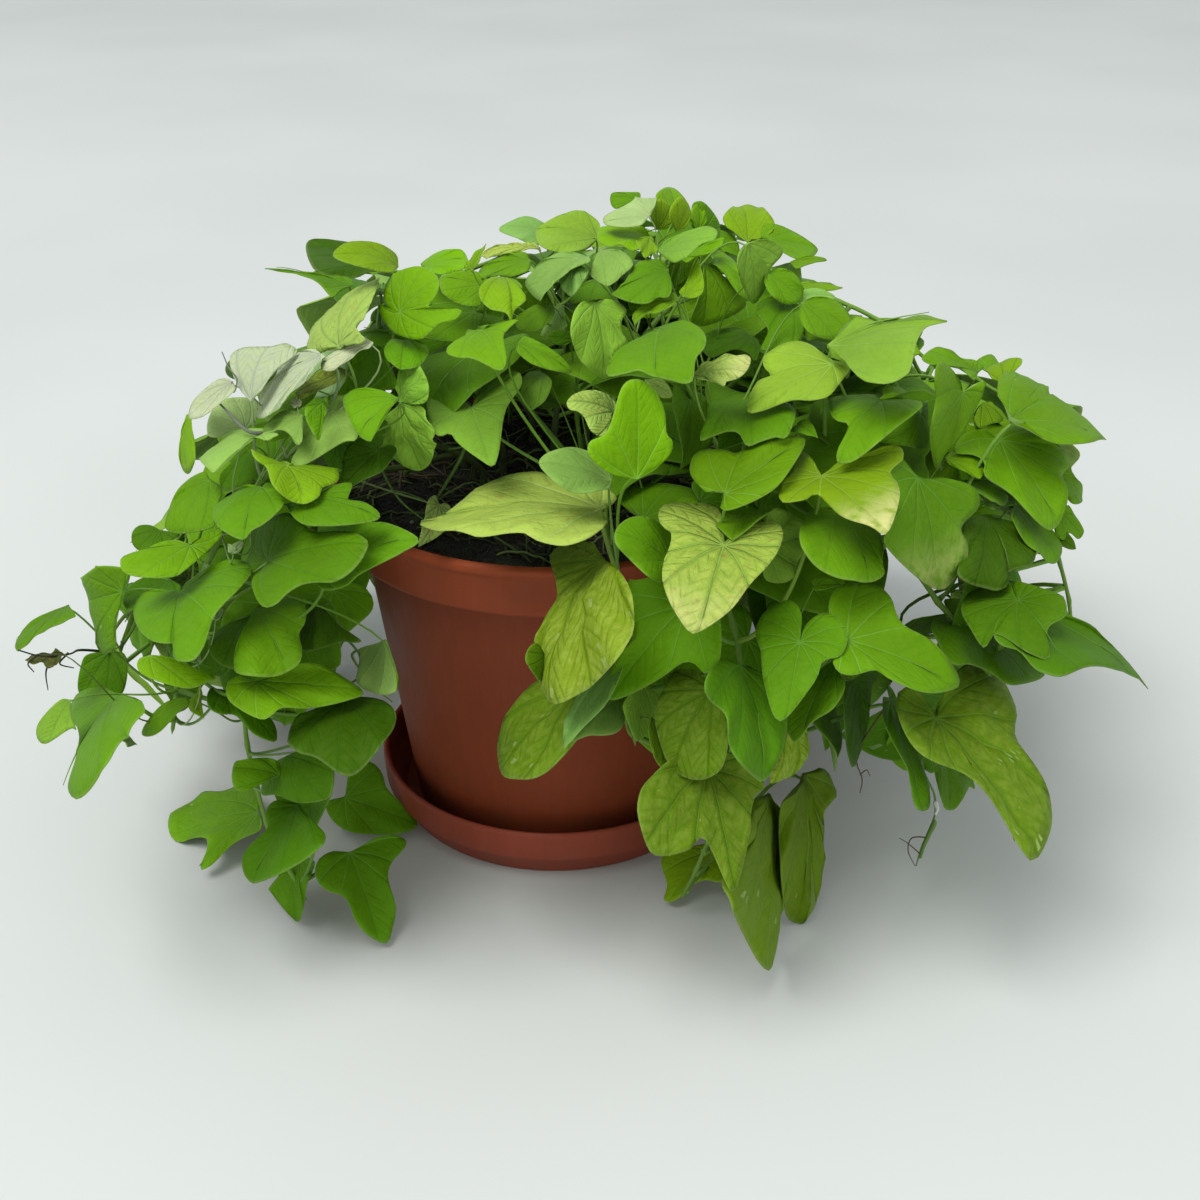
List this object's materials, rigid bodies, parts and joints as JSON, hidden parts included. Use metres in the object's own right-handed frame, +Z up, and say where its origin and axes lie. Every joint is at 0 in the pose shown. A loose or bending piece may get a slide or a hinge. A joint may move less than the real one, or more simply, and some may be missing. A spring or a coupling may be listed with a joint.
{
  "type": "potted sweet potato vine",
  "caption": "Bushy trailing plant with heart-shaped lime leaves, grown in a round tapered pot on a saucer, free-standing decoration.",
  "frame": {"origin": "on the pot's axis, at the underside of the saucer, where the plant rests", "axes": "+Z up along the pot's axis; -Y is the front, from which the pot's wall shows between the leaves; +X is to the right seen from the front"},
  "size_m": [0.7231, 0.6335, 0.4389],
  "materials": {
    "saucer_plastic": "reddish terracotta-coloured plastic, slightly satin",
    "pot_plastic": "brown terracotta-coloured plastic, satin, paler on the lip and the band",
    "potting_soil": "dark loose potting mix with fine roots",
    "vine_stem": "smooth pale green stem, browner towards the soil",
    "leaf_green": "soft satin leaf, lime to mid green, with paler veins",
    "leaf_pale": "soft satin leaf, pale yellow-green between greener veins"
  },
  "bodies": {
    "root": {"saucer": "saucer_plastic", "pot": "pot_plastic", "soil": "potting_soil", "vine_right": "vine_stem", "vine_right_front": "vine_stem", "vine_front_right": "vine_stem", "vine_front": "vine_stem", "vine_left_front": "vine_stem", "vine_left_over": "vine_stem", "vine_left": "vine_stem", "vine_left_back": "vine_stem", "vine_back_left": "vine_stem", "vine_back_right": "vine_stem", "vine_right_back": "vine_stem", "vine_top_left": "vine_stem", "vine_top_back": "vine_stem", "vine_top_right": "vine_stem", "vine_top_front": "vine_stem", "leaf_floor_1": "leaf_green", "leaf_floor_2": "leaf_green", "leaf_floor_3": "leaf_green", "leaf_floor_4": "leaf_green", "leaf_front_1": "leaf_pale", "leaf_front_2": "leaf_pale", "leaf_front_3": "leaf_pale", "leaf_front_4": "leaf_green", "leaf_front_5": "leaf_green", "leaf_front_6": "leaf_green", "leaf_right_1": "leaf_green", "leaf_right_2": "leaf_green", "leaf_right_3": "leaf_green", "leaf_right_4": "leaf_green", "leaf_right_5": "leaf_green", "leaf_right_6": "leaf_green", "leaf_right_7": "leaf_green", "leaf_left_1": "leaf_green", "leaf_left_2": "leaf_green", "leaf_left_3": "leaf_green", "leaf_left_4": "leaf_green", "leaf_left_5": "leaf_pale", "leaf_left_6": "leaf_green", "leaf_top_1": "leaf_green", "leaf_top_2": "leaf_pale", "leaf_top_3": "leaf_green", "leaf_top_4": "leaf_green", "leaf_top_5": "leaf_green", "leaf_top_6": "leaf_green", "leaf_top_7": "leaf_green", "leaf_back_1": "leaf_green", "leaf_back_2": "leaf_green", "leaf_back_3": "leaf_green", "leaf_back_4": "leaf_green", "leaf_back_5": "leaf_green", "leaf_back_6": "leaf_green", "leaf_back_7": "leaf_green", "leaf_back_8": "leaf_green", "leaf_back_9": "leaf_green", "leaf_back_10": "leaf_green", "leaf_back_11": "leaf_green", "leaf_back_12": "leaf_green"}
  },
  "joints": []
}
